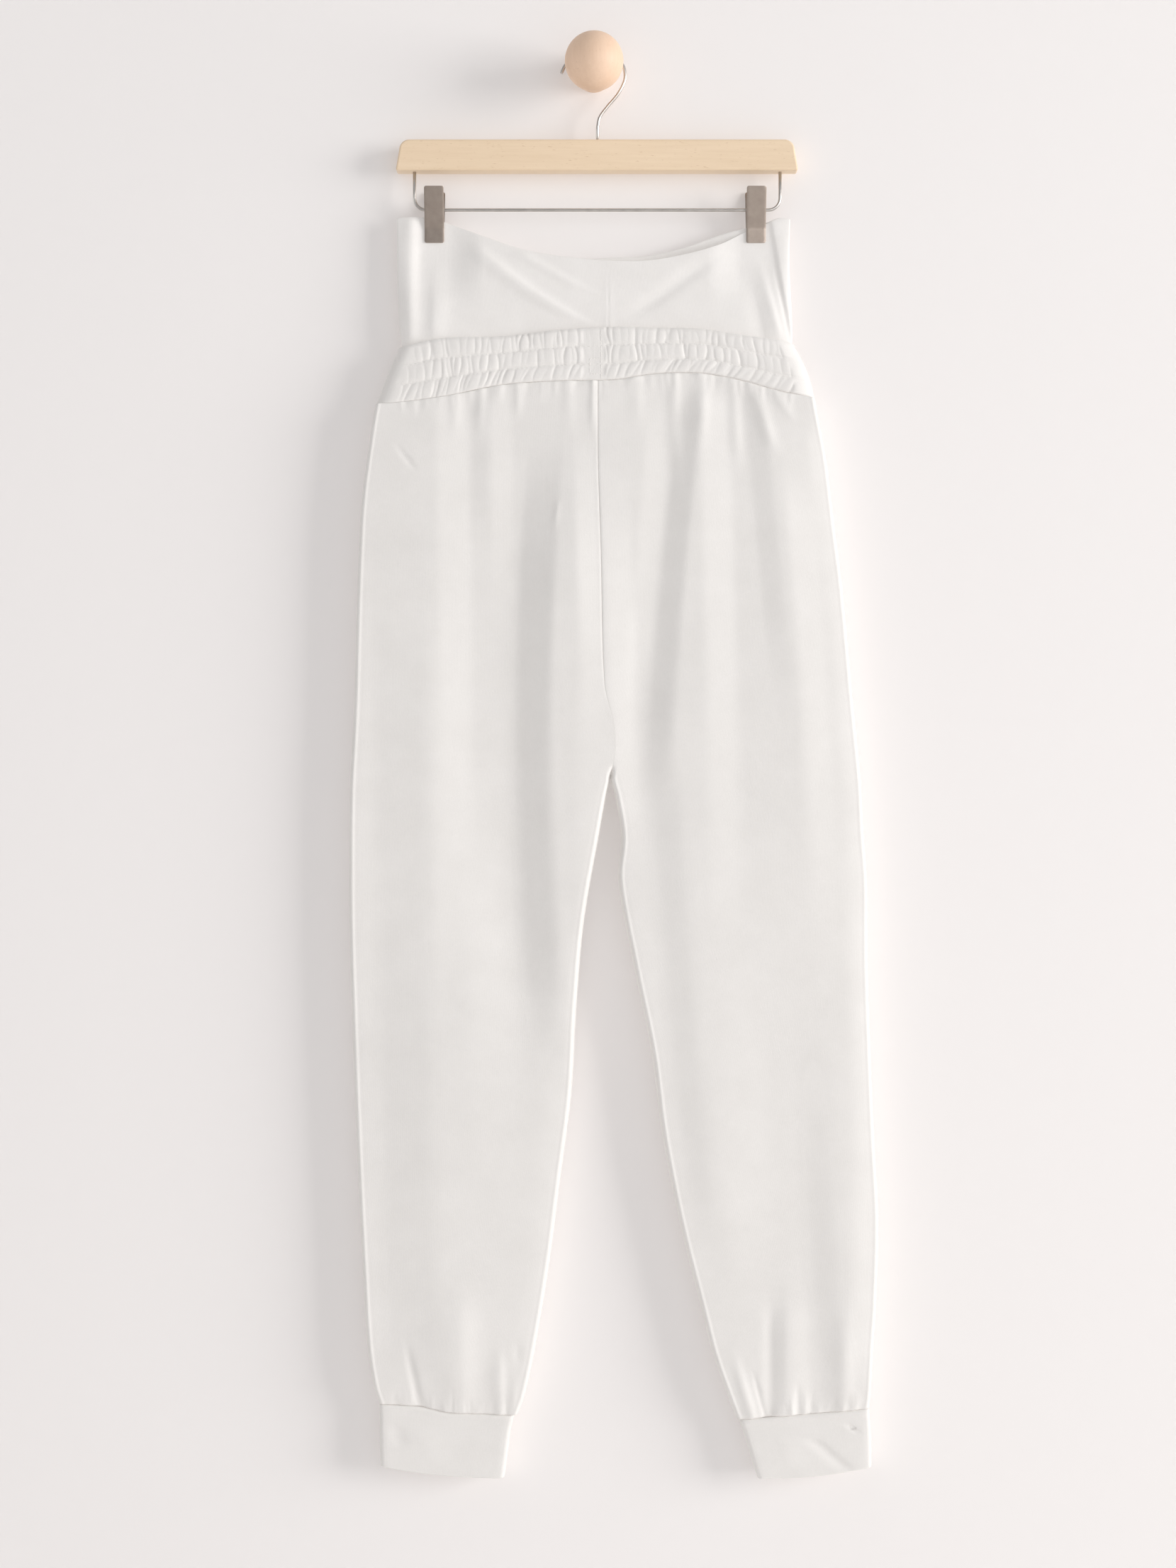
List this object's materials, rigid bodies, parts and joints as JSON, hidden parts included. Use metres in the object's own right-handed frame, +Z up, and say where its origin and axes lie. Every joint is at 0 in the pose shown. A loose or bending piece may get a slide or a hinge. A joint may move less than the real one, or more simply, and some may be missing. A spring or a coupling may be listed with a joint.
{
  "type": "sweatpants on a clip hanger and wall knob",
  "caption": "Over-the-belly jogger sweatpants with a gathered back waistband and folded cuffs, hung flat by clips on a wooden bar hanger from a round wall knob.",
  "frame": {"origin": "middle of the wall knob's flat back, where it meets the wall", "axes": "+Z up, +Y into the wall, the garment's back facing -Y, +X to the viewer's right"},
  "size_m": [0.4915, 0.07, 1.3355],
  "materials": {
    "sweat_cloth": "soft brushed-back sweat fabric with a fine knit face, off-white",
    "cuff_cloth": "folded off-white sweat fabric",
    "jersey": "thin smooth off-white jersey",
    "bar_wood": "light clear-lacquered beech with fine straight grain",
    "knob_wood": "light turned beech with a satin finish",
    "wire_metal": "satin nickel wire",
    "clip_metal": "satin nickel plate, slightly warm"
  },
  "bodies": {
    "root": {"back_left_leg": "sweat_cloth", "back_right_leg": "sweat_cloth", "front_left_leg": "sweat_cloth", "front_right_leg": "sweat_cloth", "back_waistband": "sweat_cloth", "front_waistband": "sweat_cloth", "belly_panel": "jersey", "cuff_left": "cuff_cloth", "cuff_right": "cuff_cloth", "hanger_bar": "bar_wood", "hanger_hook": "wire_metal", "hanger_rail": "wire_metal", "clip_left_front_jaw": "clip_metal", "clip_left_back_jaw": "clip_metal", "clip_left_spring": "clip_metal", "clip_right_front_jaw": "clip_metal", "clip_right_back_jaw": "clip_metal", "clip_right_spring": "clip_metal", "wall_knob": "knob_wood"}
  },
  "joints": []
}
